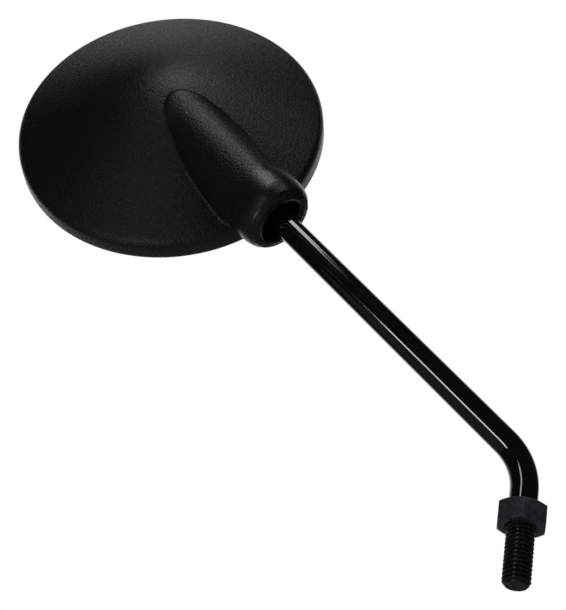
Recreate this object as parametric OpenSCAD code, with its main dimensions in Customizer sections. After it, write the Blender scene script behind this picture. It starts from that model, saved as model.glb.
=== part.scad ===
// Round rear-view mirror for a motorcycle, on a bent steel stem with a threaded end.
// The origin is on the stud's axis at the lower face of the lock nut. +Z runs up the stud,
// the stem leans towards +X, the glass faces -Y and the moulded back faces +Y.

/* [Stem] */
// Diameter of the painted steel rod
rod_d = 8; // [6:0.5:10]
// Straight rod between the lock nut and the bend
plain_len = 5; // [3:0.5:20]
// Radius of the bend, at the rod's centre line
bend_r = 20; // [14:1:40]
// Angle of the bend
bend_angle = 47.5; // [20:0.5:80]
// Straight arm from the end of the bend to the centre of the ball
arm_len = 113; // [70:1:200]
// Length of thread below the lock nut
thread_len = 17; // [10:0.5:30]
// Pitch of the thread
thread_pitch = 1.25; // [0.75:0.25:1.75]
// How much the thread's crest is smaller than the rod, on the radius
thread_step = 0.05; // [0.02:0.01:0.1]
// Chamfer at the end of the thread
thread_chamfer = 0.9; // [0.4:0.1:1.2]
// Thread that shows above the lock nut
thread_above = 0.7; // [0.2:0.1:2]

/* [Lock nut] */
// Size across the flats
nut_af = 13; // [11:0.5:19]
// Height of the nut
nut_h = 6.5; // [4:0.5:10]
// Play between the nut's bore and the thread's crest
nut_play = 0.05; // [0.03:0.01:0.1]
// Slope of the chamfer on the nut's corners
nut_chamfer_angle = 30; // [15:5:45]
// Turn of the nut about the stud
nut_turn = 28; // [0:1:60]

/* [Ball joint] */
// Diameter of the ball
ball_d = 16; // [15:0.5:18]
// Play between the ball and its two seats
ball_play = 0.1; // [0.05:0.01:0.2]
// Thickness of the front seat
seat_wall = 1.8; // [1.2:0.1:3]
// Play between the front seat and the socket
socket_play = 0.1; // [0.05:0.01:0.2]
// Largest tilt of the head about either axis
tilt_max = 14; // [6:1:15]
// Diameter of the stem's spigot in the ball
spigot_d = 6; // [4:0.5:6.5]
// Play between the spigot and the ball's bore
spigot_play = 0.05; // [0.02:0.01:0.1]
// Height of the riveted head on the spigot
rivet_h = 1.4; // [0.8:0.1:2]
// Width of the riveted head's step beyond the spigot
rivet_step = 0.8; // [0.5:0.1:1]

/* [Spring and bracket] */
// Wire of the spring
wire_d = 1.5; // [1:0.1:1.8]
// Length of the spring as fitted
spring_len = 14; // [10:0.5:18]
// Working turns of the spring, without its closed ends
spring_turns = 4; // [3:1:5]
// Sheet of the bracket
plate_t = 1.2; // [0.8:0.1:2]
// Length of the bracket's flange
flange_len = 14; // [12:0.5:18]
// Thread diameter of the bracket's screws
screw_d = 2.9; // [2.2:0.1:3.5]
// Length of the screws under the head
screw_len = 8; // [6:0.5:8.5]

/* [Head] */
// Diameter of the head
head_d = 106; // [96:1:130]
// Height above the rim at which the back's slope would meet the side wall
side_h = 7.15; // [6.5:0.05:12]
// Slope that the back's cone approaches
cone_slope = 0.554; // [0.45:0.01:0.6]
// Radius over which the cone is rounded at its top
apex_round = 18.5; // [12:0.5:24]
// Radius of the rounded shoulder between the side wall and the back
shoulder_r = 4; // [3:0.5:5]
// Wall of the moulded shell
wall = 2.2; // [1.6:0.1:2.6]
// Height of the ball's centre above the rim
ball_h = 15; // [15:0.5:17]
// How far the ball's centre lies outside the rim
ball_out = 2; // [1:0.5:6]

/* [Socket and finger] */
// Gap between the stem and the edge of the socket's mouth
mouth_gap = 3.4; // [3.2:0.1:3.8]
// Thickness of the socket's wall at its mouth
mouth_wall = 3; // [2:0.1:3.6]
// Wall of the bulb at its widest
bulb_wall = 2.7; // [2.4:0.1:3.6]
// How far the bulb's middle lies in front of the ball's centre
bulb_shift = 3; // [1:0.5:4]
// Radius of the bulb's outer edge round the mouth
lip_round = 2.5; // [1.5:0.1:3]
// Radius of the mouth's inner edge
mouth_round = 1.6; // [0.8:0.1:2]
// Wall of the socket at its neck
neck_wall = 2.2; // [1.7:0.1:2.4]
// Step from the neck up to the finger
finger_step = 0.4; // [0.2:0.1:1]
// Where the finger starts, behind the ball's centre
finger_in = 6; // [5:0.5:9]
// Draft of the finger's flanks
finger_draft = 2.5; // [0:0.5:5]

/* [Glass] */
// Thickness of the mirror glass
glass_t = 1.8; // [1.4:0.1:2]
// Radius of the glass's convex face
glass_curve = 1200; // [1000:50:2000]
// Thickness of the rim's inward lip
lip_t = 1.2; // [0.8:0.1:1.6]
// Reach of the rim's inward lip
lip_reach = 1.2; // [0.8:0.1:1.6]
// Thickness of the seal's lips and web
seal_t = 0.6; // [0.5:0.05:0.8]
// Thickness of the foam behind the edge of the glass
foam_t = 1.2; // [0.8:0.1:1.6]

/* [Hidden] */
$fn = 96;
// One overrun serves all cuts, one play serves what lies loosely behind the glass
cut = 1;
play = 0.1;

// Stem
rod_r = rod_d / 2;
thread_r = rod_r - thread_step;
thread_top = nut_h + thread_above;
root_share = 0.4;
ring_from_share = 0.08;
ring_share = 0.6;
thread_root = thread_r - root_share * thread_pitch;
// Bending slims the rod, on the radius, and its straight ends run on into the bend a little
bend_slim = 0.03;
bend_lap = 10 * bend_slim;
bend_z = nut_h + plain_len;
arm_way = [sin(bend_angle), 0, cos(bend_angle)];
arm_start = [bend_r * (1 - cos(bend_angle)), 0, bend_z + bend_r * sin(bend_angle)];
ball_at = arm_start + arm_len * arm_way;

// Lock nut
nut_bore_r = thread_r + nut_play;
nut_corner_r = nut_af / sqrt(3);
face_share = 0.95;
nut_face_r = face_share * nut_af / 2;
nut_mouth_r = nut_bore_r + thread_pitch / 2;

// Ball and seats. Along the socket's axis 0 is the ball's centre and + leads into the head
ball_r = ball_d / 2;
spigot_r = spigot_d / 2;
rivet_r = spigot_r + rivet_step;
front_margin = 0.2;
rear_margin = 1.2;
front_flat = sqrt(pow(ball_r, 2) - pow(rod_r + front_margin, 2));
rear_flat = sqrt(pow(ball_r, 2) - pow(rivet_r + rear_margin, 2));
seat_in_r = ball_r + ball_play;
seat_out_r = seat_in_r + seat_wall;
socket_r = seat_out_r + socket_play;
hole_gap = 0.5;
seat_hole_r = seat_out_r * sin(asin(rod_r / seat_out_r) + tilt_max) + hole_gap;
seat_gap = 0.4;
rear_start = seat_out_r * sin(tilt_max) + seat_gap;
guide_len = 2.4;
rear_wall = 1.6;
rear_r = seat_in_r;
rear_back = seat_in_r + rear_wall;
pilot_len = 2;

// Spring
spring_gap = 0.05;
pilot_gap = 0.6;
shoulder_share = 0.6;
spring_r = shoulder_share * rear_r;
pilot_r = spring_r - wire_d / 2 - pilot_gap;
leg_in = rear_back + spring_len;

// Outline of the shell's back
head_r = head_d / 2;
wall_in_r = head_r - wall;
rim_edge = 0.4;
apex_h = side_h + cone_slope * (norm([head_r, apex_round]) - apex_round);
edge_mid = head_r - shoulder_r / 2;
edge_angle = atan(cone_slope * edge_mid / norm([edge_mid, apex_round]));
edge_r = head_r - shoulder_r * (1 - sin(edge_angle));
shoulder_z = dish_z(edge_r) - shoulder_r * cos(edge_angle);
ball_reach = head_r + ball_out;

// Socket and finger of the shell
mouth_r = rod_r + mouth_gap;
mouth_z = sqrt(pow(socket_r, 2) - pow(mouth_r, 2)) + mouth_wall;
bulb_r = socket_r + bulb_wall;
neck_r = socket_r + neck_wall;
finger_r = neck_r + finger_step;
finger_end = ball_reach - wall;
core_r = finger_r - wall;
core_in = finger_in + wall;
core_low = ball_h - socket_r;

// Glass, its seal and the foam behind it
glass_r = wall_in_r - 2 * play - seal_t;
seal_front = lip_t + play / 2;
glass_front = seal_front + seal_t + play;
seal_back = glass_front + glass_t + play + seal_t;
seal_reach = 1.8;
ledge_z = seal_back + play / 2;
ledge_w = 1.6;
foam_r = glass_r - 2 * seal_reach;
foam_back = glass_front + glass_t + foam_t;

// Ribs behind the foam. The place of the last one is the finger's
rib_front = foam_back + play;
rib_t = 1.6;
rib_count = 6;
rib_in_r = finger_r + wall;

// Bracket, its bosses and its screws
head_h = 1.8;
head_r_step = 1.25;
point_len = 1.5;
screw_play = 0.05;
hole_play = 0.2;
boss_wall = 1.75;
flange_y = rib_front + head_h + play - ball_h;
boss_r = screw_d / 2 + boss_wall;
boss_x = finger_r + boss_r - play;
screw_in = leg_in + flange_len - boss_r;
leg_r = core_r - 4 * play;
leg_w = 2 * rear_r;
recess_share = 0.6;

// Height of the back's outer face at a distance from the head's axis
function dish_z(r) = apex_h - cone_slope * (norm([r, apex_round]) - apex_round);

// Line of the back from the shoulder to the axis, moved inwards by a depth
function dish_line(depth, steps = 24) =
    [for (i = [0:steps])
        let (r = edge_r * (1 - i / steps),
             slope = atan(cone_slope * r / norm([r, apex_round])))
        [r - depth * sin(slope), dish_z(r) - depth * cos(slope)]];

// Line round the shoulder, moved inwards by a depth
function shoulder_line(depth, steps = 8) =
    [for (i = [0:steps - 1])
        let (a = (90 - edge_angle) * i / steps)
        [head_r - shoulder_r + (shoulder_r - depth) * cos(a),
         shoulder_z + (shoulder_r - depth) * sin(a)]];

// Face of the convex glass at a distance from its axis, set back by a depth
function glass_z(r, depth) =
    glass_front + sqrt(pow(glass_curve, 2) - pow(glass_r, 2))
        - sqrt(pow(glass_curve - depth, 2) - pow(r, 2));

function glass_line(radius, depth, steps = 6) =
    [for (i = [0:steps])
        let (r = radius * i / steps)
        [r, glass_z(r, depth)]];

function backwards(line) = [for (i = [len(line) - 1:-1:0]) line[i]];

// Frame of the socket: +Z along the stem's axis into the head, +Y towards the back
module in_socket() {
    translate(ball_at)
        rotate([0, bend_angle, 0])
            children();
}

// Frame of the head: +Z along its axis towards the back, +X away from the stem
module in_head() {
    translate(ball_at)
        rotate([0, bend_angle - 90, 0])
            rotate([-90, 0, 0])
                translate([ball_reach, 0, -ball_h])
                    children();
}

module dish_solid(depth) {
    rotate_extrude()
        polygon(concat([[0, 0], [head_r - depth - rim_edge, 0], [head_r - depth, rim_edge]],
            shoulder_line(depth), dish_line(depth)));
}

// Room for the glass, the step that its seal bears on, and the hollow behind
module dish_hollow() {
    open_r = wall_in_r - lip_reach;
    ledge_r = wall_in_r - ledge_w;
    inner = [for (p = dish_line(wall)) if (p[0] < ledge_r) p];
    rotate_extrude()
        polygon(concat([[0, -cut], [open_r, -cut], [open_r, lip_t], [wall_in_r, lip_t],
            [wall_in_r, ledge_z], [ledge_r, ledge_z]], inner));
}

// Round finger whose flanks run down to a level, with draft
module finger(r, start, end, low) {
    spread = (ball_h - low) * tan(finger_draft);
    translate([0, 0, start])
        linear_extrude(end - start)
            union() {
                circle(r);
                polygon([[-r, 0], [-r - spread, low - ball_h], [r + spread, low - ball_h],
                    [r, 0]]);
            }
}

// Bulb and neck, turned about the stem's axis
module bulb(steps = 16) {
    lip_z = mouth_z - lip_round;
    lip_r = sqrt(pow(bulb_r - lip_round, 2) - pow(lip_z - bulb_shift, 2));
    lip_end = atan(lip_r / (lip_z - bulb_shift));
    bulb_end = 180 - asin(neck_r / bulb_r);
    lip = [for (i = [0:steps / 2])
        let (a = lip_end * i * 2 / steps)
        [lip_r + lip_round * sin(a), -lip_z - lip_round * cos(a)]];
    round_face = [for (i = [1:steps])
        let (a = lip_end + (bulb_end - lip_end) * i / steps)
        [bulb_r * sin(a), -bulb_shift - bulb_r * cos(a)]];
    rotate_extrude()
        polygon(concat([[0, -mouth_z]], lip, round_face,
            [[neck_r, finger_in + wall], [0, finger_in + wall]]));
}

// Room for the ball and its seats, and the mouth with its rounded edge
module socket_hollow(steps = 6) {
    sphere(socket_r);
    cylinder(r = socket_r, h = core_in + cut);
    edge = [for (i = [0:steps])
        let (a = 90 * i / steps)
        [mouth_r + mouth_round * (1 - sin(a)), -mouth_z + mouth_round * (1 - cos(a))]];
    rotate_extrude()
        polygon(concat([[0, 0], [0, -mouth_z - cut], [mouth_r + mouth_round, -mouth_z - cut]],
            edge, [[mouth_r, 0]]));
}

module ribs() {
    for (i = [0:rib_count - 1])
        if (i != rib_count / 2)
            rotate([0, 0, 360 * i / rib_count])
                translate([rib_in_r, -rib_t / 2, rib_front])
                    cube([head_r - rib_in_r, rib_t, apex_h]);
}

// Upright cylinder over a bracket screw's place, from the top of the bracket's flange
module boss(side, r, h) {
    translate([side * boss_x, flange_y + plate_t, screw_in])
        rotate([-90, 0, 0])
            cylinder(r = r, h = h);
}

module shell() {
    color("#1f1f1e")
    difference() {
        union() {
            difference() {
                union() {
                    in_head() dish_solid(0);
                    in_socket() bulb();
                    in_socket() finger(finger_r, finger_in, finger_end, ledge_z);
                }
                in_head() dish_hollow();
            }
            intersection() {
                in_head() dish_solid(wall / 2);
                union() {
                    in_head() ribs();
                    in_socket() boss(-1, boss_r, apex_h);
                    in_socket() boss(1, boss_r, apex_h);
                }
            }
        }
        in_socket() socket_hollow();
        in_socket() finger(core_r, core_in, finger_end - wall, core_low);
        in_socket() boss(-1, screw_d / 2, screw_len);
        in_socket() boss(1, screw_d / 2, screw_len);
    }
}

module mirror_glass() {
    color("#b9c4cc")
    in_head()
        rotate_extrude()
            polygon(concat(glass_line(glass_r, 0), backwards(glass_line(glass_r, glass_t))));
}

// Ring of U section round the edge of the glass
module glass_seal() {
    r = wall_in_r - play;
    in_r = glass_r - seal_reach + play;
    web_r = r - seal_t;
    color("#161616")
    in_head()
        rotate_extrude()
            polygon([[in_r, seal_front], [r, seal_front], [r, seal_back], [in_r, seal_back],
                [in_r, seal_back - seal_t], [web_r, seal_back - seal_t],
                [web_r, seal_front + seal_t], [in_r, seal_front + seal_t]]);
}

module foam_pad() {
    color("#2c2c2c")
    in_head()
        rotate_extrude()
            polygon(concat(glass_line(foam_r, glass_t + play / 2),
                [[foam_r, foam_back], [0, foam_back]]));
}

// Bent rod: chamfered thread, plain rod, bend, arm, and the spigot with its riveted head.
// The thread is drawn at its crest. One groove, a ring just inside the lock nut, parts the
// thread below the nut from the thread in it.
module stem() {
    ring_from = ring_from_share * thread_pitch;
    ring_to = ring_from + ring_share * thread_pitch;
    color("#141414")
    union() {
        translate([0, 0, -thread_len])
            cylinder(r1 = thread_r - thread_chamfer, r2 = thread_r, h = thread_chamfer);
        translate([0, 0, thread_chamfer - thread_len])
            cylinder(r = thread_r, h = thread_len - thread_chamfer + ring_from);
        translate([0, 0, ring_from])
            cylinder(r = thread_root, h = ring_to - ring_from);
        translate([0, 0, ring_to])
            cylinder(r = thread_r, h = thread_top - ring_to);
        translate([0, 0, thread_top])
            cylinder(r = rod_r, h = bend_z + bend_lap - thread_top);
        translate([bend_r, 0, bend_z])
            rotate([90, 0, 0])
                rotate([0, 0, 180 - bend_angle])
                    rotate_extrude(angle = bend_angle)
                        translate([bend_r, 0])
                            circle(rod_r - bend_slim);
        in_socket()
            translate([0, 0, -arm_len - bend_lap])
                cylinder(r = rod_r, h = arm_len + bend_lap - front_flat);
        in_socket()
            translate([0, 0, -front_flat - cut])
                cylinder(r = spigot_r, h = cut + front_flat + rear_flat - rivet_h / 2);
        in_socket()
            translate([0, 0, rear_flat - rivet_h])
                cylinder(r = rivet_r, h = rivet_h);
    }
}

// Hexagon with chamfered corners and countersunk bore
module lock_nut() {
    out_r = nut_corner_r + cut;
    chamfer_h = (out_r - nut_face_r) * tan(nut_chamfer_angle);
    color("#23262b")
    difference() {
        intersection() {
            rotate([0, 0, nut_turn])
                cylinder(r = nut_corner_r, h = nut_h, $fn = 6);
            rotate_extrude()
                polygon([[0, 0], [nut_face_r, 0], [out_r, chamfer_h],
                    [out_r, nut_h - chamfer_h], [nut_face_r, nut_h], [0, nut_h]]);
        }
        translate([0, 0, -cut])
            cylinder(r = nut_bore_r, h = nut_h + 2 * cut);
        cylinder(r1 = nut_mouth_r, r2 = nut_bore_r, h = nut_mouth_r - nut_bore_r);
        translate([0, 0, nut_h - nut_mouth_r + nut_bore_r])
            cylinder(r1 = nut_bore_r, r2 = nut_mouth_r, h = nut_mouth_r - nut_bore_r);
    }
}

module ball() {
    color("#3a3b3d")
    in_socket()
        difference() {
            sphere(ball_r);
            translate([0, 0, -front_flat - ball_r])
                cylinder(r = ball_r, h = ball_r);
            translate([0, 0, rear_flat])
                cylinder(r = ball_r, h = ball_r);
            translate([0, 0, -ball_r])
                cylinder(r = spigot_r + spigot_play, h = ball_d);
            translate([0, 0, rear_flat - rivet_h])
                cylinder(r = rivet_r + spigot_play, h = rivet_h + cut);
        }
}

// Ring between the ball and the front half of the socket
module front_seat() {
    color("#1c1c1c")
    in_socket()
        difference() {
            sphere(seat_out_r);
            sphere(seat_in_r);
            cylinder(r = socket_r, h = socket_r);
            translate([0, 0, -socket_r])
                cylinder(r = seat_hole_r, h = socket_r);
        }
}

// Cup that the spring presses on the back of the ball
module rear_seat() {
    color("#1c1c1c")
    in_socket()
        difference() {
            union() {
                translate([0, 0, rear_start])
                    cylinder(r = seat_out_r, h = guide_len);
                translate([0, 0, rear_start])
                    cylinder(r = rear_r, h = rear_back - rear_start);
                translate([0, 0, rear_back])
                    cylinder(r = pilot_r, h = pilot_len);
            }
            sphere(seat_in_r);
        }
}

// Coil spring with one closed turn at each end
module spring(sides = 8, steps = 16) {
    turns = spring_turns + 2;
    closed = wire_d + spring_gap;
    low = rear_back + spring_gap + wire_d / 2;
    rise = spring_len - 2 * spring_gap - wire_d - 2 * closed;
    rings = [for (i = [0:turns * steps])
        let (t = i / steps,
             z = low + closed * (min(t, 1) + max(t - turns + 1, 0))
                 + rise * min(max(t - 1, 0), spring_turns) / spring_turns)
        [for (j = [0:sides - 1])
            let (r = spring_r + wire_d / 2 * cos(360 * j / sides))
            [r * cos(360 * t), r * sin(360 * t), z + wire_d / 2 * sin(360 * j / sides)]]];
    last = len(rings) - 1;
    points = [for (ring = rings) for (p = ring) p];
    sides_of = [for (i = [0:last - 1]) for (j = [0:sides - 1])
        [i * sides + j, i * sides + (j + 1) % sides,
         (i + 1) * sides + (j + 1) % sides, (i + 1) * sides + j]];
    first_end = [for (j = [sides - 1:-1:0]) j];
    last_end = [for (j = [0:sides - 1]) last * sides + j];
    color("#9a9ca0")
    in_socket()
        polyhedron(points, concat(sides_of, [first_end, last_end]));
}

// Bent sheet: an upright leg against the spring, and a flange with two ears on the bosses
module bracket() {
    color("#a7a9a6")
    in_socket()
        difference() {
            union() {
                translate([0, 0, leg_in])
                    linear_extrude(plate_t)
                        intersection() {
                            circle(leg_r);
                            translate([-leg_w / 2, flange_y])
                                square([leg_w, leg_r - flange_y]);
                        }
                translate([-leg_w / 2, flange_y, leg_in])
                    cube([leg_w, plate_t, flange_len]);
                translate([-boss_x, flange_y, screw_in - boss_r])
                    cube([2 * boss_x, plate_t, 2 * boss_r]);
                translate([0, -plate_t, 0]) boss(-1, boss_r, plate_t);
                translate([0, -plate_t, 0]) boss(1, boss_r, plate_t);
                translate([0, 0, leg_in - plate_t])
                    cylinder(r = pilot_r, h = plate_t);
            }
            translate([0, -2 * plate_t, 0]) boss(-1, screw_d / 2 + hole_play, 3 * plate_t);
            translate([0, -2 * plate_t, 0]) boss(1, screw_d / 2 + hole_play, 3 * plate_t);
        }
}

// Pan-head screw with a cross recess, upright under a boss
module bracket_screw(side) {
    r = screw_d / 2 - screw_play;
    pan_r = screw_d / 2 + head_r_step;
    slot = recess_share * head_h;
    color("#a7a9a6")
    in_socket()
        translate([side * boss_x, flange_y, screw_in])
            rotate([-90, 0, 0])
                difference() {
                    union() {
                        cylinder(r = r, h = screw_len - point_len);
                        translate([0, 0, screw_len - point_len])
                            cylinder(r1 = r, r2 = r / 3, h = point_len);
                        translate([0, 0, -head_h])
                            cylinder(r1 = pan_r - head_h / 3, r2 = pan_r, h = head_h / 3);
                        translate([0, 0, -head_h * 2 / 3])
                            cylinder(r = pan_r, h = head_h * 2 / 3);
                    }
                    for (a = [0, 90])
                        rotate([0, 0, a])
                            translate([-pan_r / 2, -slot / 4, -head_h - cut])
                                cube([pan_r, slot / 2, slot + cut]);
                }
}

module bracket_screw_left() {
    bracket_screw(-1);
}

module bracket_screw_right() {
    bracket_screw(1);
}

shell();
mirror_glass();
glass_seal();
foam_pad();
stem();
lock_nut();
ball();
front_seat();
rear_seat();
spring();
bracket();
bracket_screw_left();
bracket_screw_right();
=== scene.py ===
# Round motorcycle mirror on a bent steel stem, seen from behind and a little below.
import math
import bpy
import numpy as np
from mathutils import Matrix
from mathutils.bvhtree import BVHTree


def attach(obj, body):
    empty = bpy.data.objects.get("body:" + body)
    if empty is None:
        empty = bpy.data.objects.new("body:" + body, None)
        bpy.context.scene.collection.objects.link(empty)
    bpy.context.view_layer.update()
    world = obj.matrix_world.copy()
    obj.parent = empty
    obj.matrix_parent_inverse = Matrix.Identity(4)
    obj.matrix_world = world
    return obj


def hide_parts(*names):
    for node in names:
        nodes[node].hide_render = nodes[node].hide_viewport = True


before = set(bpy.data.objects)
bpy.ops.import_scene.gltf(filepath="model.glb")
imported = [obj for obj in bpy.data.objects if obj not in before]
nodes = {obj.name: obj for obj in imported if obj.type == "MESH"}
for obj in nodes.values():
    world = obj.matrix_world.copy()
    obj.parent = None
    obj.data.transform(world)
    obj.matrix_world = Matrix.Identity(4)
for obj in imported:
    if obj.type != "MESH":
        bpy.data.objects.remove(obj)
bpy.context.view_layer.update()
print("frame loaded:", len(nodes), "nodes")

mm = 0.001


def colour(hexText):
    # sRGB as it is written, turned to linear
    parts = [int(hexText[i:i + 2], 16) / 255 for i in (1, 3, 5)]
    return [c / 12.92 if c < 0.04045 else ((c + 0.055) / 1.055) ** 2.4 for c in parts] + [1]


def addNode(tree, kind, inputs=None, **settings):
    # a Mix node's colours are its inputs 6 and 7, and its output 2
    node = tree.nodes.new(kind)
    for name, value in settings.items():
        setattr(node, name, value)
    for name, value in (inputs or {}).items():
        if isinstance(value, bpy.types.NodeSocket):
            tree.links.new(value, node.inputs[name])
        else:
            node.inputs[name].default_value = value
    return node


def newMaterial(name, **surface):
    material = bpy.data.materials.new(name)
    material.use_nodes = True
    tree = material.node_tree
    shader = tree.nodes["Principled BSDF"]
    for socket, value in surface.items():
        shader.inputs[socket.replace("_", " ")].default_value = value
    place = addNode(tree, "ShaderNodeTexCoord").outputs["Object"]
    return material, tree, shader, place


def paint(thing, material):
    thing.data.materials.clear()
    thing.data.materials.append(material)


def addObject(name, data):
    thing = bpy.data.objects.new(name, data)
    bpy.context.scene.collection.objects.link(thing)
    return thing


def placing(x, y, z, at):
    # three directions and a place in metres
    return Matrix(np.vstack([np.column_stack([x, y, z, at]), [0, 0, 0, 1]]))


def deselect():
    for thing in bpy.context.selected_objects:
        thing.select_set(False)


def pick(thing):
    # the active object, and the only one that is selected
    deselect()
    bpy.context.view_layer.objects.active = thing
    thing.select_set(True)


def editAll(thing):
    # edit mode with all of it selected
    pick(thing)
    bpy.ops.object.mode_set(mode="EDIT")
    bpy.ops.mesh.select_all(action="SELECT")


def modify(thing, kind, **settings):
    pick(thing)
    step = thing.modifiers.new("step", kind)
    for name, value in settings.items():
        setattr(step, name, value)
    bpy.ops.object.modifier_apply(modifier=step.name)


def finishPiece(thing, name, angle):
    # puts the place into the mesh, turns the faces outwards and smooths the shading
    pick(thing)
    thing.name = thing.data.name = name
    bpy.ops.object.transform_apply(location=True, rotation=True, scale=True)
    editAll(thing)
    bpy.ops.mesh.remove_doubles(threshold=0.002 * mm)
    bpy.ops.mesh.normals_make_consistent(inside=False)
    bpy.ops.object.mode_set(mode="OBJECT")
    bpy.ops.object.shade_smooth_by_angle(angle=math.radians(angle))


# Places in millimetres, the same as the solids'. The thread stands on Z, its shoulder at 7.2.
stemSizes = {"rod": 4.0, "bendRadius": 20.0, "bendAngle": math.radians(47.5), "bendFrom": 11.5,
             "arm": 113.0, "threadTop": 7.2, "threadEnd": -17.0}
headSizes = {"radius": 53.0, "reach": 55.0, "ballHeight": 15.0}

lean = stemSizes["bendAngle"]
along = np.array([math.sin(lean), 0, math.cos(lean)])      # up the arm, into the head
across = np.array([math.cos(lean), 0, -math.sin(lean)])
back = np.array([0.0, 1.0, 0.0])                           # from the glass to the shell's back
armStart = np.array([stemSizes["bendRadius"] * (1 - math.cos(lean)), 0,
                     stemSizes["bendFrom"] + stemSizes["bendRadius"] * math.sin(lean)])
ballAt = armStart + stemSizes["arm"] * along

# The camera, fitted to the photo: its place in millimetres and its three directions.
cameraSizes = {"place": (16.264, 342.559, -172.725), "right": (-0.983196, -0.05301, 0.174685),
               "down": (-0.112365, -0.578424, -0.807961), "ahead": (0.143872, -0.814012, 0.562748),
               "sensor": 36, "lens": 1382.12 * 36 / 610}      # 1382 pixels on a side of 610

lens = bpy.data.cameras.new("camera")
lens.sensor_width = cameraSizes["sensor"]
lens.lens = cameraSizes["lens"]
lens.clip_start = 0.01
camera = addObject("camera", lens)
sideways, downwards, ahead = (np.array(cameraSizes[k]) for k in ("right", "down", "ahead"))
camera.matrix_world = placing(sideways, -downwards, -ahead, np.array(cameraSizes["place"]) * mm)
bpy.context.scene.camera = camera

# Soft boxes. Flags keep the arm's two off the head, and four of the head's off the rod's gloss.
upright = np.array([-0.19, -0.04, 0.30])
stemOnly = bpy.data.collections.new("stemOnly")
allButRod = bpy.data.collections.new("allButRod")
lampSizes = {   # place, target, long way, width and length, watts, what it lights
    "lampTop": ((0.186, 0.586, 0.769), (0.09, 0.0, 0.09), along, (0.45, 0.24), 1.5, None),
    "lampRight": ((-0.300, 0.660, 0.610), (0.09, 0.0, 0.09), along, (0.30, 0.30), 0.45,
                  allButRod),
    "lampBack": ((0.320, 0.840, -0.070), (0.09, 0.0, 0.09), along, (0.10, 0.10), 0.14,
                 allButRod),
    "lampLow": ((0.387, 0.720, -0.360), (0.09, 0.0, 0.09), along, (0.08, 0.08), 0.12,
                allButRod),
    "lampBelow": ((0.280, 0.237, -0.400), (0.12, 0.0, 0.07), along, (0.06, 0.06), 0.25,
                  allButRod),
    "lampArm": ((0.645, 0.615, -0.170), (0.05, 0.0, 0.05), along, (0.14, 0.22), 0.7, stemOnly),
    "lampBend": ((1.400, 2.330, 1.300), (0.0, 0.0, 0.02), upright, (0.40, 0.90), 4.2, stemOnly),
}
for name, (place, target, longWay, size, power, lights) in lampSizes.items():
    light = bpy.data.lights.new(name, "AREA")
    light.shape = "RECTANGLE"
    light.size, light.size_y = size
    light.energy = power
    lamp = addObject(name, light)
    facing = np.array(place) - np.array(target)            # a lamp shines along its own -Z
    facing /= np.linalg.norm(facing)
    longSide = longWay - longWay.dot(facing) * facing
    longSide /= np.linalg.norm(longSide)
    lamp.matrix_world = placing(np.cross(longSide, facing), longSide, facing, place)
    if lights:
        lamp.light_linking.receiver_collection = lights

# The white backdrop stands behind the object, and gloss away from it sees a dimmer room.
worldSizes = {"white": 1.0, "dim": 0.012, "dimFrom": 0.6, "whiteFrom": 0.95, "fill": 0.55}

world = bpy.data.worlds.new("studio")
world.use_nodes = True
bpy.context.scene.world = world
tree = world.node_tree
tree.nodes.clear()
rays = addNode(tree, "ShaderNodeLightPath")
ways = addNode(tree, "ShaderNodeTexCoord").outputs["Generated"]
behind = addNode(tree, "ShaderNodeVectorMath", {0: ways, 1: tuple(ahead)}, operation="DOT_PRODUCT")
backdrop = addNode(tree, "ShaderNodeMapRange", {
    "Value": behind.outputs["Value"], "From Min": worldSizes["dimFrom"],
    "From Max": worldSizes["whiteFrom"], "To Min": worldSizes["dim"],
    "To Max": worldSizes["white"]}, interpolation_type="SMOOTHSTEP")
glossy = addNode(tree, "ShaderNodeMath", {0: rays.outputs["Is Glossy Ray"],
                 1: backdrop.outputs["Result"]}, operation="MULTIPLY")
seen = addNode(tree, "ShaderNodeMath", {0: rays.outputs["Is Camera Ray"],
               1: rays.outputs["Is Transmission Ray"]}, operation="MAXIMUM")
white = addNode(tree, "ShaderNodeMath", {0: seen.outputs[0], 1: glossy.outputs[0]},
                operation="MAXIMUM")
diffuse = addNode(tree, "ShaderNodeMath", {0: rays.outputs["Is Diffuse Ray"],
                  1: worldSizes["fill"]}, operation="MULTIPLY")
level = addNode(tree, "ShaderNodeMath", {0: white.outputs[0], 1: diffuse.outputs[0]},
                operation="MAXIMUM")
glow = addNode(tree, "ShaderNodeBackground", {"Color": (1, 1, 1, 1), "Strength": level.outputs[0]})
addNode(tree, "ShaderNodeOutputWorld", {"Surface": glow.outputs[0]})
bpy.context.scene.view_settings.view_transform = "Standard"

# Matt white card, pale to the camera and under the object. Gloss sees it as dim as the room.
floorSizes = {"side": 4.0, "place": (0.1, 0, -0.6)}

floorCard, tree, shader, place = newMaterial("matt white card", Roughness=0.9)
rays = addNode(tree, "ShaderNodeLightPath")
tint = addNode(tree, "ShaderNodeMix", {0: rays.outputs["Is Glossy Ray"], 6: colour("#ececea"),
               7: colour("#6a6a69")}, data_type="RGBA")
tree.links.new(tint.outputs[2], shader.inputs["Base Color"])
deselect()
bpy.ops.mesh.primitive_plane_add(size=floorSizes["side"], location=floorSizes["place"])
floor = bpy.context.active_object
floor.name = "floor"
paint(floor, floorCard)
print("camera, lamps and floor placed")


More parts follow.
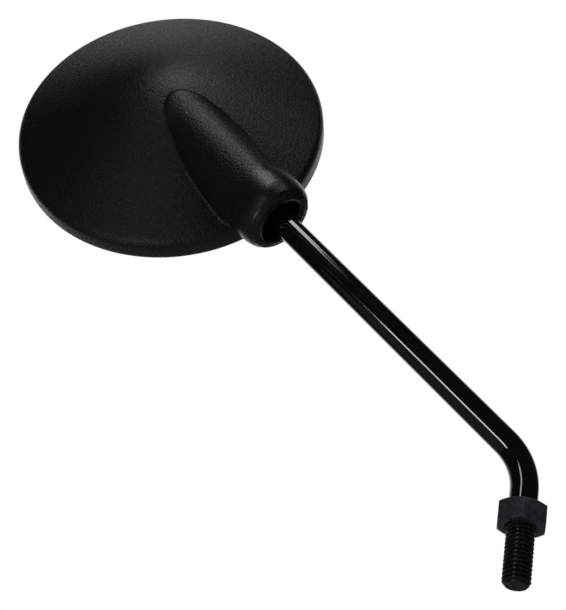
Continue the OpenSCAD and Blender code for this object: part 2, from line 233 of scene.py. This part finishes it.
# Black ABS, injection moulded in a spark-eroded mould: an even matt grain that spreads every
# highlight into a soft grey patch. The bulb comes from a finer part of the mould. The real grain
# is finer still, and is drawn 0.6 mm wide, with pits 1.1 mm apart, so that it shows.
erodedAbs, tree, shader, place = newMaterial("spark eroded black ABS", IOR=1.53)
grainMask = addNode(tree, "ShaderNodeAttribute", attribute_name="grain").outputs["Fac"]
grains = addNode(tree, "ShaderNodeTexNoise", {"Vector": place, "Scale": 1 / (0.6 * mm),
                 "Detail": 3.0, "Roughness": 0.62})
pits = addNode(tree, "ShaderNodeTexVoronoi", {"Vector": place, "Scale": 1 / (1.1 * mm),
               "Randomness": 1.0})
relief = addNode(tree, "ShaderNodeMath", {0: pits.outputs["Distance"], 1: 0.25,
                 2: grains.outputs["Fac"]}, operation="MULTIPLY_ADD")
strength = addNode(tree, "ShaderNodeMapRange", {"Value": grainMask, "To Min": 0.25,
                   "To Max": 0.9})
bump = addNode(tree, "ShaderNodeBump", {"Height": relief.outputs[0], "Distance": 0.24 * mm,
               "Strength": strength.outputs[0]})
tree.links.new(bump.outputs[0], shader.inputs["Normal"])
clouds = addNode(tree, "ShaderNodeTexNoise", {"Vector": place, "Scale": 1 / (14 * mm),
                 "Detail": 2.0})
tint = addNode(tree, "ShaderNodeMix", {0: clouds.outputs["Fac"], 6: colour("#0b0b0b"),
               7: colour("#100f0f")}, data_type="RGBA")
tree.links.new(tint.outputs[2], shader.inputs["Base Color"])
gloss = addNode(tree, "ShaderNodeMapRange", {"Value": grains.outputs["Fac"], "From Min": 0.3,
                "From Max": 0.7, "To Min": 0.2, "To Max": 0.44})
tree.links.new(gloss.outputs[0], shader.inputs["Roughness"])

# Black stoving enamel on steel: hard, wet gloss with the faintest orange peel.
stoveEnamel, tree, shader, place = newMaterial("black stoving enamel", IOR=1.5)
shader.inputs["Base Color"].default_value = colour("#080809")
shader.inputs["Specular IOR Level"].default_value = 1.0      # the wet look of a thick coat
peel = addNode(tree, "ShaderNodeTexNoise", {"Vector": place, "Scale": 1 / (1.6 * mm),
               "Detail": 1.0})
bump = addNode(tree, "ShaderNodeBump", {"Height": peel.outputs["Fac"], "Distance": 0.004 * mm,
               "Strength": 0.5})
tree.links.new(bump.outputs[0], shader.inputs["Normal"])
dust = addNode(tree, "ShaderNodeTexNoise", {"Vector": place, "Scale": 1 / (6 * mm),
               "Detail": 4.0})
gloss = addNode(tree, "ShaderNodeMapRange", {"Value": dust.outputs["Fac"], "From Min": 0.35,
                "From Max": 0.75, "To Min": 0.05, "To Max": 0.11})
tree.links.new(gloss.outputs[0], shader.inputs["Roughness"])

# Rolled thread under phosphate and oil: satin black, worn a little greyer in places.
oiledThread, tree, shader, place = newMaterial("oiled phosphated steel", Metallic=0.6)
wear = addNode(tree, "ShaderNodeTexNoise", {"Vector": place, "Scale": 1 / (1.6 * mm),
               "Detail": 5.0})
tint = addNode(tree, "ShaderNodeMix", {0: wear.outputs["Fac"], 6: colour("#131312"),
               7: colour("#2c2c29")}, data_type="RGBA")
tree.links.new(tint.outputs[2], shader.inputs["Base Color"])
gloss = addNode(tree, "ShaderNodeMapRange", {"Value": wear.outputs["Fac"], "To Min": 0.16,
                "To Max": 0.26})
tree.links.new(gloss.outputs[0], shader.inputs["Roughness"])

# Steel nut with a blue-black passivated zinc coat: cool, satin, slightly mottled.
blueNut, tree, shader, place = newMaterial("blue-black passivated steel", Metallic=0.85)
mottle = addNode(tree, "ShaderNodeTexNoise", {"Vector": place, "Scale": 1 / (1.5 * mm),
                 "Detail": 4.0})
tint = addNode(tree, "ShaderNodeMix", {0: mottle.outputs["Fac"], 6: colour("#252b31"),
               7: colour("#6c7680")}, data_type="RGBA")
tree.links.new(tint.outputs[2], shader.inputs["Base Color"])
gloss = addNode(tree, "ShaderNodeMapRange", {"Value": mottle.outputs["Fac"], "To Min": 0.30,
                "To Max": 0.46})
tree.links.new(gloss.outputs[0], shader.inputs["Roughness"])
bump = addNode(tree, "ShaderNodeBump", {"Height": mottle.outputs["Fac"], "Distance": 0.01 * mm,
               "Strength": 0.4})
tree.links.new(bump.outputs[0], shader.inputs["Normal"])

# Convex float glass, silvered on the back.
silveredGlass, tree, shader, place = newMaterial("silvered convex glass", Metallic=1.0)
shader.inputs["Base Color"].default_value = colour("#dfe6ea")
haze = addNode(tree, "ShaderNodeTexNoise", {"Vector": place, "Scale": 1 / (22 * mm),
               "Detail": 3.0})
gloss = addNode(tree, "ShaderNodeMapRange", {"Value": haze.outputs["Fac"], "To Min": 0.005,
                "To Max": 0.03})
tree.links.new(gloss.outputs[0], shader.inputs["Roughness"])

# Extruded soft PVC: dull black with a dry bloom.
sealPvc, tree, shader, place = newMaterial("soft black PVC", IOR=1.5)
bloom = addNode(tree, "ShaderNodeTexNoise", {"Vector": place, "Scale": 1 / (2 * mm),
                "Detail": 4.0})
tint = addNode(tree, "ShaderNodeMix", {0: bloom.outputs["Fac"], 6: colour("#101010"),
               7: colour("#1e1e1d")}, data_type="RGBA")
tree.links.new(tint.outputs[2], shader.inputs["Base Color"])
gloss = addNode(tree, "ShaderNodeMapRange", {"Value": bloom.outputs["Fac"], "To Min": 0.55,
                "To Max": 0.75})
tree.links.new(gloss.outputs[0], shader.inputs["Roughness"])

# Closed-cell polyethylene foam: small open cells on the cut face, each painted darker towards the
# bottom of its pit as painted shade.
cellFoam, tree, shader, place = newMaterial("closed-cell PE foam", IOR=1.45, Roughness=0.95)
cells = addNode(tree, "ShaderNodeTexVoronoi", {"Vector": place, "Scale": 1 / (0.9 * mm)})
tint = addNode(tree, "ShaderNodeMix", {0: cells.outputs["Distance"],
               6: colour("#191919"), 7: colour("#333333")}, data_type="RGBA")
tree.links.new(tint.outputs[2], shader.inputs["Base Color"])
bump = addNode(tree, "ShaderNodeBump", {"Height": cells.outputs["Distance"], "Distance": 0.2 * mm,
               "Strength": 0.7})
tree.links.new(bump.outputs[0], shader.inputs["Normal"])

# Moulded black acetal: waxy and slightly greasy.
blackAcetal, tree, shader, place = newMaterial("moulded black acetal", IOR=1.48)
shader.inputs["Base Color"].default_value = colour("#121212")
flow = addNode(tree, "ShaderNodeTexNoise", {"Vector": place, "Scale": 1 / (4 * mm),
               "Detail": 2.0})
gloss = addNode(tree, "ShaderNodeMapRange", {"Value": flow.outputs["Fac"], "To Min": 0.25,
                "To Max": 0.4})
tree.links.new(gloss.outputs[0], shader.inputs["Roughness"])

# Turned steel under dark grease, as the ball is.
greasedSteel, tree, shader, place = newMaterial("greased turned steel", Metallic=0.9)
grease = addNode(tree, "ShaderNodeTexNoise", {"Vector": place, "Scale": 1 / (0.5 * mm),
                 "Detail": 3.0})
tint = addNode(tree, "ShaderNodeMix", {0: grease.outputs["Fac"], 6: colour("#1a1a1b"),
               7: colour("#3c3c3e")}, data_type="RGBA")
tree.links.new(tint.outputs[2], shader.inputs["Base Color"])
gloss = addNode(tree, "ShaderNodeMapRange", {"Value": grease.outputs["Fac"], "To Min": 0.3,
                "To Max": 0.5})
tree.links.new(gloss.outputs[0], shader.inputs["Roughness"])

# Drawn spring wire: bright, its gloss broken by fine drawing marks.
springWire, tree, shader, place = newMaterial("drawn spring wire", Metallic=1.0)
marks = addNode(tree, "ShaderNodeTexNoise", {"Vector": place, "Scale": 1 / (0.3 * mm),
                "Detail": 2.0})
tint = addNode(tree, "ShaderNodeMix", {0: marks.outputs["Fac"], 6: colour("#8c8c8e"),
               7: colour("#b4b4b5")}, data_type="RGBA")
tree.links.new(tint.outputs[2], shader.inputs["Base Color"])
gloss = addNode(tree, "ShaderNodeMapRange", {"Value": marks.outputs["Fac"], "To Min": 0.22,
                "To Max": 0.4})
tree.links.new(gloss.outputs[0], shader.inputs["Roughness"])

# Bright zinc plate on pressed steel: pale, faintly yellow and blue in patches.
zincPlate, tree, shader, place = newMaterial("bright zinc plate", Metallic=1.0)
patches = addNode(tree, "ShaderNodeTexNoise", {"Vector": place, "Scale": 1 / (3 * mm),
                  "Detail": 3.0})
tint = addNode(tree, "ShaderNodeMix", {0: patches.outputs["Fac"], 6: colour("#b9bcb4"),
               7: colour("#c4c9d0")}, data_type="RGBA")
tree.links.new(tint.outputs[2], shader.inputs["Base Color"])
gloss = addNode(tree, "ShaderNodeMapRange", {"Value": patches.outputs["Fac"], "To Min": 0.25,
                "To Max": 0.42})
tree.links.new(gloss.outputs[0], shader.inputs["Roughness"])

for node, material in (("glass_seal", sealPvc), ("foam_pad", cellFoam), ("ball", greasedSteel),
                       ("front_seat", blackAcetal), ("rear_seat", blackAcetal),
                       ("spring", springWire), ("bracket", zincPlate),
                       ("bracket_screw_left", zincPlate), ("bracket_screw_right", zincPlate)):
    paint(nodes[node], material)
print("materials made")


# The rod: a round bar drawn up, bent and drawn along the arm, with the ball's spigot turned on
# its end. The neck and the rivet stand at distances from the ball's middle.
spigotSizes = {"radius": 3.0, "neckAt": -6.784, "rivetRadius": 3.8, "rivetFrom": 4.845,
               "rivetTo": 6.245, "sides": 64, "bendSteps": 28}


def extrudeBy(move):
    bpy.ops.mesh.extrude_region_move(TRANSFORM_OT_translate={"value": tuple(move)})


deselect()
bpy.ops.mesh.primitive_circle_add(vertices=spigotSizes["sides"], radius=stemSizes["rod"] * mm,
                                  fill_type="NGON", location=(0, 0, stemSizes["threadTop"] * mm))
rod = bpy.context.active_object
bpy.ops.object.transform_apply(location=True)
editAll(rod)
extrudeBy((0, 0, (stemSizes["bendFrom"] - stemSizes["threadTop"]) * mm))
bpy.ops.mesh.spin(steps=spigotSizes["bendSteps"], angle=-lean, axis=(0, 1, 0),
                  center=(stemSizes["bendRadius"] * mm, 0, stemSizes["bendFrom"] * mm))
extrudeBy(along * (stemSizes["arm"] + spigotSizes["neckAt"]) * mm)
bpy.ops.mesh.inset(thickness=(stemSizes["rod"] - spigotSizes["radius"]) * mm)
extrudeBy(along * (spigotSizes["rivetFrom"] - spigotSizes["neckAt"]) * mm)
extrudeBy((0, 0, 0))
bpy.ops.transform.resize(value=(spigotSizes["rivetRadius"] / spigotSizes["radius"],) * 3,
                         center_override=tuple((ballAt + along * spigotSizes["rivetFrom"]) * mm))
extrudeBy(along * (spigotSizes["rivetTo"] - spigotSizes["rivetFrom"]) * mm)
bpy.ops.object.mode_set(mode="OBJECT")
finishPiece(rod, "stemRod", angle=35)
paint(rod, stoveEnamel)
stemOnly.objects.link(rod)
allButRod.objects.link(rod)                                # named there as the one left out
allButRod.collection_objects[0].light_linking.link_state = "EXCLUDE"
print("rod made:", len(rod.data.polygons), "faces")


# The rolled thread: a ring of the stem at each cut of each turn, joined into one helix.
threadSizes = {"crest": 3.95, "pitch": 1.25, "depth": 0.70, "chamfer": 0.9, "sides": 72,
               "runOut": 1.2, "rootFlat": 0.14, "flank": 0.72, "rootRound": 0.06}


def threadRadius(turn):
    # one pitch of the profile: flat crest, 60 degree flanks, rounded root
    crestward = abs((turn % 1.0) - 0.5) * 2        # 0 in the root, 1 on the crest
    rise = min(max((crestward - threadSizes["rootFlat"]) / threadSizes["flank"], 0.0), 1.0)
    rise = rise + threadSizes["rootRound"] * math.sin(math.pi * rise) * (1 - rise)
    return threadSizes["crest"] - threadSizes["depth"] * (1 - rise)


def threadMesh():
    pitch, sides, crest = threadSizes["pitch"], threadSizes["sides"], threadSizes["crest"]
    bottom, top = stemSizes["threadEnd"], stemSizes["threadTop"]
    cuts = (0.0, 0.07, 0.16, 0.25, 0.34, 0.43, 0.5, 0.57, 0.66, 0.75, 0.84, 0.93)
    turns = [n + c for n in range(math.floor(bottom / pitch) - 1, math.ceil(top / pitch) + 1)
             for c in cuts]
    points, faces = [], []
    for t in turns:
        for i in range(sides):
            z = min(max((t + i / sides) * pitch, bottom), top)
            turn = z / pitch - i / sides
            r = threadRadius(turn)
            fade = min(max((top - z) / threadSizes["runOut"], 0.0), 1.0)
            r = crest - (crest - r) * fade          # the thread runs out under the rod
            r = min(r, crest - threadSizes["chamfer"] + (z - bottom))
            angle = 2 * math.pi * i / sides
            points.append((r * math.cos(angle) * mm, r * math.sin(angle) * mm, z * mm))
    for k in range(len(turns) - 1):
        for i in range(sides):
            j = (i + 1) % sides
            up = k if i + 1 < sides else k + len(cuts)
            if up + 1 >= len(turns):
                continue
            faces.append((k * sides + i, up * sides + j, (up + 1) * sides + j,
                          (k + 1) * sides + i))
    mesh = bpy.data.meshes.new("thread")
    mesh.from_pydata(points, [], faces)
    return mesh


thread = addObject("thread", threadMesh())
editAll(thread)
bpy.ops.mesh.remove_doubles(threshold=0.001 * mm)
bpy.ops.mesh.select_all(action="DESELECT")
bpy.ops.mesh.select_non_manifold(extend=False)
bpy.ops.mesh.edge_face_add()
bpy.ops.object.mode_set(mode="OBJECT")
finishPiece(thread, "stemThread", angle=28)
paint(thread, oiledThread)
stemOnly.objects.link(thread)
print("thread made:", len(thread.data.polygons), "faces")


# The lock nut: a hexagon cut by a cone at each end and by its bore.
nutSizes = {"acrossFlats": 13.0, "height": 6.5, "turn": 28.0, "bore": 4.0, "mouth": 4.625,
            "chamferFrom": 6.175, "chamferAngle": 30.0, "coneOut": 9.0, "edge": 0.16,
            "edgeAngle": 22.0}


def turned(profile, name, sides=96):
    # an outline of (radius, height) in millimetres, from axis to axis, spun about Z
    mesh = bpy.data.meshes.new(name)
    mesh.from_pydata([(r * mm, 0, z * mm) for r, z in profile],
                     [(i, i + 1) for i in range(len(profile) - 1)], [])
    thing = addObject(name, mesh)
    editAll(thing)
    bpy.ops.mesh.spin(steps=sides, angle=2 * math.pi, axis=(0, 0, 1), center=(0, 0, 0))
    bpy.ops.mesh.select_all(action="SELECT")
    bpy.ops.mesh.remove_doubles(threshold=0.001 * mm)
    bpy.ops.mesh.normals_make_consistent(inside=False)
    bpy.ops.object.mode_set(mode="OBJECT")
    return thing


def chamferCone():
    flat, out, height = nutSizes["chamferFrom"], nutSizes["coneOut"], nutSizes["height"]
    drop = (out - flat) * math.tan(math.radians(nutSizes["chamferAngle"]))
    return turned([(0, 0), (flat, 0), (out, drop), (out, height - drop), (flat, height),
                   (0, height)], "nutCone")


def boreCutter():
    # with a chamfer of 45 degrees at both ends, and 1 mm of overrun
    bore, mouth, height = nutSizes["bore"], nutSizes["mouth"], nutSizes["height"]
    return turned([(0, -1), (mouth + 1, -1), (bore, mouth - bore), (bore, height - mouth + bore),
                   (mouth + 1, height + 1), (0, height + 1)], "nutBore")


deselect()
bpy.ops.mesh.primitive_cylinder_add(
    vertices=6, radius=nutSizes["acrossFlats"] / math.sqrt(3) * mm,
    depth=nutSizes["height"] * mm, location=(0, 0, nutSizes["height"] / 2 * mm),
    rotation=(0, 0, math.radians(nutSizes["turn"] - 30)))     # a corner is 30 from a flat
nut = bpy.context.active_object
bpy.ops.object.transform_apply(location=True, rotation=True)
for tool, operation in ((chamferCone(), "INTERSECT"), (boreCutter(), "DIFFERENCE")):
    modify(nut, "BOOLEAN", object=tool, operation=operation, solver="EXACT")
    bpy.data.objects.remove(tool)
modify(nut, "BEVEL", width=nutSizes["edge"] * mm, segments=2, limit_method="ANGLE",
       angle_limit=math.radians(nutSizes["edgeAngle"]), use_clamp_overlap=True)
finishPiece(nut, "lockNut", angle=25)
paint(nut, blueNut)
print("nut made:", len(nut.data.polygons), "faces")


# The moulded shell: the solid's own mesh, made an even skin, whose outside is then settled onto
# the true faces of the dish, the finger and its bulb, with the soft edges of the moulding.
shellSizes = {"voxel": 0.69, "apexRound": 18.5, "slope": 0.554, "sideHeight": 7.15,
              "shoulder": 3.4, "solidShoulder": 4.0, "rimEdge": 0.4,
              "finger": 12.6, "fingerFrom": 6.0, "fingerTo": 52.8,
              "draft": math.tan(math.radians(2.5)), "squareOver": 12.0,
              "nose": 0.9, "noseFrom": 38.0, "noseTo": 51.0, "noseBow": 11.0, "tip": 4.0,
              "waist": 1.7, "waistFrom": 33.0, "waistTo": 7.0, "waistPower": 1.5,
              "flankFrom": 10.0, "flankTo": 60.0,                # degrees round the finger
              "neck": 12.2, "bulb": 12.7, "bulbFrom": -3.0, "bulbTo": 0.0,
              "mouthFlat": 9.7261, "mouth": 7.4, "mouthRound": 1.6, "lip": 2.2,
              "grainFrom": 1.0, "grainTo": 7.0}
settleSizes = {"probe": 0.02, "onFace": 0.2, "play": 0.1,         # millimetres
               "rounds": 6, "step": 0.5, "leastSlope": 0.2,      # a move's limits
               "creaseRounds": 3, "creaseFrom": 12.0, "alike": 0.8, "weakest": 0.2,
               "rimReach": 0.75}                                 # voxels
apex = shellSizes["sideHeight"] + shellSizes["slope"] * (
    math.hypot(headSizes["radius"], shellSizes["apexRound"]) - shellSizes["apexRound"])


def headPlaces(points):
    # millimetres from the ball: up the arm, across it, towards the back
    p = points / mm - ballAt
    return p @ along, p @ across, p @ back


def eased(value, start, end):
    t = np.clip((value - start) / (end - start), 0, 1)
    return t ** 2 * (3 - 2 * t)


def roundCorner(a, b, radius):
    # the distance from the corner of two faces, rounded
    outside = np.hypot(np.maximum(a + radius, 0), np.maximum(b + radius, 0))
    return np.where((a > -radius) & (b > -radius), outside - radius, np.maximum(a, b))


def dishDistance(points, dressed):
    # negative inside, as all these distances are
    s = shellSizes
    up, side, rear = headPlaces(points)
    x, z = up - headSizes["reach"], rear + headSizes["ballHeight"]
    r = np.hypot(x, side)
    tilt = s["slope"] * r / np.hypot(r, s["apexRound"])
    cone = z - apex + s["slope"] * (np.hypot(r, s["apexRound"]) - s["apexRound"])
    dish = roundCorner(cone / np.sqrt(1 + tilt ** 2), r - headSizes["radius"],
                       s["shoulder"] if dressed else s["solidShoulder"])
    rimBevel = (r - z - headSizes["radius"] + s["rimEdge"]) / math.sqrt(2)
    return np.maximum(dish, np.maximum(rimBevel, -z))


def fingerDistance(points, dressed):
    # the finger with its bulb: dressed with the waist, the nose and the soft edges, and
    # otherwise the solid's own
    s = shellSizes
    up, side, rear = headPlaces(points)
    out = np.hypot(side, rear)
    finger = np.where(rear > 0, out - s["finger"], np.abs(side) - s["finger"] + rear * s["draft"])
    if dressed:
        inward = np.clip((s["waistFrom"] - up) / (s["waistFrom"] - s["waistTo"]), 0, 1)
        flank = eased(np.degrees(np.arctan2(-side, rear)), s["flankFrom"], s["flankTo"])
        square = np.clip((up - s["fingerFrom"]) / s["squareOver"], 0, 1)     # round at the neck
        finger = finger * square + (out - s["finger"]) * (1 - square)
        finger = finger + s["waist"] * inward ** s["waistPower"] * flank
        finger = finger - s["nose"] * eased(up, s["noseFrom"], s["noseTo"])
        finger = roundCorner(finger, up + side ** 2 / s["noseBow"] - s["noseTo"], s["tip"])
        finger = np.maximum(finger, s["bulbFrom"] - up)
        bulb = np.hypot(out, up - np.clip(up, s["bulbFrom"], s["bulbTo"])) - s["bulb"]
        bulb = roundCorner(bulb, -up - s["mouthFlat"], s["lip"])
    else:
        finger = np.maximum(finger, s["fingerFrom"] - up)
        bulb = np.maximum(np.hypot(out, up - s["bulbFrom"]) - s["bulb"], -up - s["mouthFlat"])
        neck = np.maximum(out - s["neck"], np.maximum(up - s["fingerFrom"], s["bulbFrom"] - up))
        bulb = np.minimum(bulb, neck)
    return np.minimum(np.maximum(finger, up - s["fingerTo"]), bulb)


def skinDistance(points, dressed):
    return np.minimum(dishDistance(points, dressed), fingerDistance(points, dressed))


def slopesOf(points, distance, dressed):
    # how a distance changes along X, Y and Z
    steps = np.eye(3) * settleSizes["probe"] * mm
    return np.stack([(distance(points + e, dressed) - distance(points - e, dressed))
                     / (2 * settleSizes["probe"]) for e in steps], axis=1)


def pointsOf(thing):
    flat = np.empty(len(thing.data.vertices) * 3)
    thing.data.vertices.foreach_get("co", flat)
    return flat.reshape(-1, 3)


def outsideOf(points, casting):
    # the vertices whose nearest place on the solid lies on its outside, without the mouth's lip
    feet = np.array([casting.find_nearest(p)[0] for p in points])
    up, side, rear = headPlaces(points)
    mouth = shellSizes["mouth"] + shellSizes["mouthRound"] + settleSizes["play"]
    lip = (up < 0) & (np.hypot(side, rear) < mouth)
    return (np.abs(skinDistance(feet, False)) < settleSizes["onFace"]) & ~lip


def ontoFace(points, dressed):
    for _ in range(settleSizes["rounds"]):
        slopes = slopesOf(points, skinDistance, dressed)
        size = np.maximum((slopes ** 2).sum(1), settleSizes["leastSlope"])
        off = np.clip(skinDistance(points, dressed), -settleSizes["step"], settleSizes["step"])
        points = points - (off / size)[:, None] * slopes * mm
    return points


def ontoCrease(points, dressed):
    # vertices near both faces go where they meet, but not where the faces all but run on
    half = shellSizes["voxel"] / 2
    faces = (dishDistance, fingerDistance)
    crease = np.max([np.abs(face(points, dressed)) for face in faces], axis=0) < half
    one, other = (slopesOf(points, face, dressed) for face in faces)
    crease &= (one * other).sum(1) < settleSizes["alike"]
    crease &= headPlaces(points)[0] > settleSizes["creaseFrom"]
    for _ in range(settleSizes["creaseRounds"]):
        p = points[crease]
        off = np.stack([face(p, dressed) for face in faces], axis=1)
        slopes = np.stack([slopesOf(p, face, dressed) for face in faces], axis=1)
        inverse = np.linalg.pinv(slopes, rcond=settleSizes["weakest"])
        points[crease] = p - np.clip(np.einsum("nij,nj->ni", inverse, off), -half, half) * mm


def ontoRim(points):
    # one even ring of vertices along the rim's bevel
    up, side, rear = headPlaces(points)
    x, z = up - headSizes["reach"], rear + headSizes["ballHeight"]
    r, middle = np.hypot(x, side), shellSizes["rimEdge"] / 2
    ring = headSizes["radius"] - middle
    rim = np.hypot(r - ring, z - middle) < settleSizes["rimReach"] * shellSizes["voxel"]
    points[rim] = (ballAt + (headSizes["reach"] + (x * ring / r))[rim, None] * along
                   + (side * ring / r)[rim, None] * across
                   + (middle - headSizes["ballHeight"]) * back) * mm


def settle(thing, casting, dressed):
    points = pointsOf(thing)
    moved = outsideOf(points, casting)
    part = ontoFace(points[moved], dressed)
    ontoCrease(part, dressed)
    ontoRim(part)
    points[moved] = part
    thing.data.vertices.foreach_set("co", points.ravel())
    thing.data.update()


skin = nodes["shell"].copy()
skin.data = nodes["shell"].data.copy()
skin.parent = None
for key in list(skin.keys()):                              # without the node's own marks
    del skin[key]
bpy.context.scene.collection.objects.link(skin)
editAll(skin)
bpy.ops.mesh.remove_doubles(threshold=0.001 * mm)          # its triangles come loose
bpy.ops.object.mode_set(mode="OBJECT")
casting = BVHTree.FromObject(skin, bpy.context.evaluated_depsgraph_get())
for dressed in (False, True):
    modify(skin, "REMESH", mode="VOXEL", voxel_size=shellSizes["voxel"] * mm, adaptivity=0.0)
    settle(skin, casting, dressed)
finishPiece(skin, "shellSkin", angle=50)
grain = np.clip((headPlaces(pointsOf(skin))[0] - shellSizes["grainFrom"])
                / (shellSizes["grainTo"] - shellSizes["grainFrom"]), 0, 1)
skin.data.attributes.new("grain", "FLOAT", "POINT").data.foreach_set(
    "value", grain.astype(np.float32))
paint(skin, erodedAbs)
print("shell made:", len(skin.data.polygons), "faces")


# The convex glass: two faces and a ground edge, spun about its middle.
glassSizes = {"radius": 50.0, "curve": 1200.0, "front": 0.91, "thick": 1.8, "rings": 24,
              "ground": 0.12, "sides": 160}


def glassFace(depth, outTo):
    # outline of one face, set back by a depth, from the axis to its edge
    curve = glassSizes["curve"] - depth
    return [(r, glassSizes["front"] + depth + curve - math.sqrt(curve ** 2 - r ** 2))
            for r in np.linspace(0, outTo, glassSizes["rings"])]


def glassOutline():
    out, ground, thick = glassSizes["radius"], glassSizes["ground"], glassSizes["thick"]
    front, rear = glassFace(0, out), glassFace(thick, out)
    edge = [(out, front[-1][1] + ground), (out, rear[-1][1] - ground)]
    return glassFace(0, out - ground) + edge + glassFace(thick, out - ground)[::-1]


glass = turned(glassOutline(), "glass", glassSizes["sides"])
glass.matrix_world = placing(along, across, back, (
    ballAt + headSizes["reach"] * along - headSizes["ballHeight"] * back) * mm)
finishPiece(glass, "convexGlass", angle=20)
paint(glass, silveredGlass)
print("glass made:", len(glass.data.polygons), "faces")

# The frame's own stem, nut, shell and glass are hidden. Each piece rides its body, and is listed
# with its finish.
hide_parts("stem")
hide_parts("stem")
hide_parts("lock_nut")
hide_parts("shell")
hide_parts("mirror_glass")
for piece, body, finish in ((rod, "stem", "stem_paint"), (thread, "stem", "nut_steel"),
                            (nut, "nut", "nut_steel"), (skin, "head", "shell_plastic"),
                            (glass, "head", "mirror_glass")):
    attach(piece, body)

print("pieces ride on their bodies")
